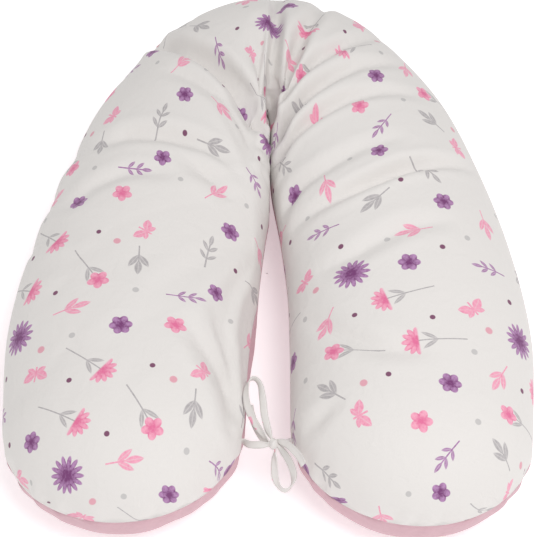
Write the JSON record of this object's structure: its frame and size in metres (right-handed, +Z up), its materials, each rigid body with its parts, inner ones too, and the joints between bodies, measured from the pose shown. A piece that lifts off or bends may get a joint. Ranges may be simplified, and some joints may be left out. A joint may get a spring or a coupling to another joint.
{
  "type": "nursing pillow",
  "caption": "U-shaped fibre-filled nursing pillow in a two-panel cotton cover with a zip round the bend and ties that hold the arm ends together.",
  "frame": {"origin": "on the surface the pillow lies on, under the middle of its bounding box", "axes": "+Z up through the pillow's thickness, +Y towards the bend, -Y towards the tied arm ends, +X to the right seen from the arm ends"},
  "size_m": [0.6498, 0.8539, 0.1782],
  "materials": {
    "printed_cotton": "woven cotton, off-white with a small floral print",
    "pink_cotton": "woven cotton, plain dusty pink",
    "casing_cloth": "plain white woven cotton",
    "fibre": "loose white hollow polyester fibre",
    "zip_tape": "woven polyester tape, pale pink",
    "zip_nylon": "nylon coil, pale pink",
    "zip_metal": "die-cast zinc, satin",
    "label_satin": "white woven satin, blank"
  },
  "bodies": {
    "pillow": {"cover_top_panel": "printed_cotton", "cover_bottom_panel": "pink_cotton", "inner_casing_top": "casing_cloth", "inner_casing_bottom": "casing_cloth", "fibre_filling": "fibre", "zip_tape_upper": "zip_tape", "zip_tape_lower": "zip_tape", "zip_coil_upper": "zip_nylon", "zip_coil_lower": "zip_nylon", "zip_top_stop_upper": "zip_metal", "zip_top_stop_lower": "zip_metal", "zip_bottom_stop": "zip_metal", "tie_left": "printed_cotton", "tie_right": "printed_cotton", "bar_tack_left": "printed_cotton", "bar_tack_right": "printed_cotton", "care_label": "label_satin"},
    "zip_slider": {"zip_slider": "zip_metal"},
    "zip_pull": {"zip_pull": "zip_metal"}
  },
  "joints": [
    {"name": "zip_slide", "type": "hinge", "parent": "pillow", "child": "zip_slider", "pos_m": [0, 0.2285, 0.089], "axis": [0, 0, 1], "range_deg": [0, 97]},
    {"name": "zip_pull_swing", "type": "hinge", "parent": "zip_slider", "child": "zip_pull", "pos_m": [0.14957, 0.36083, 0.089], "axis": [0, 0, 1], "range_deg": [0, 178]}
  ]
}
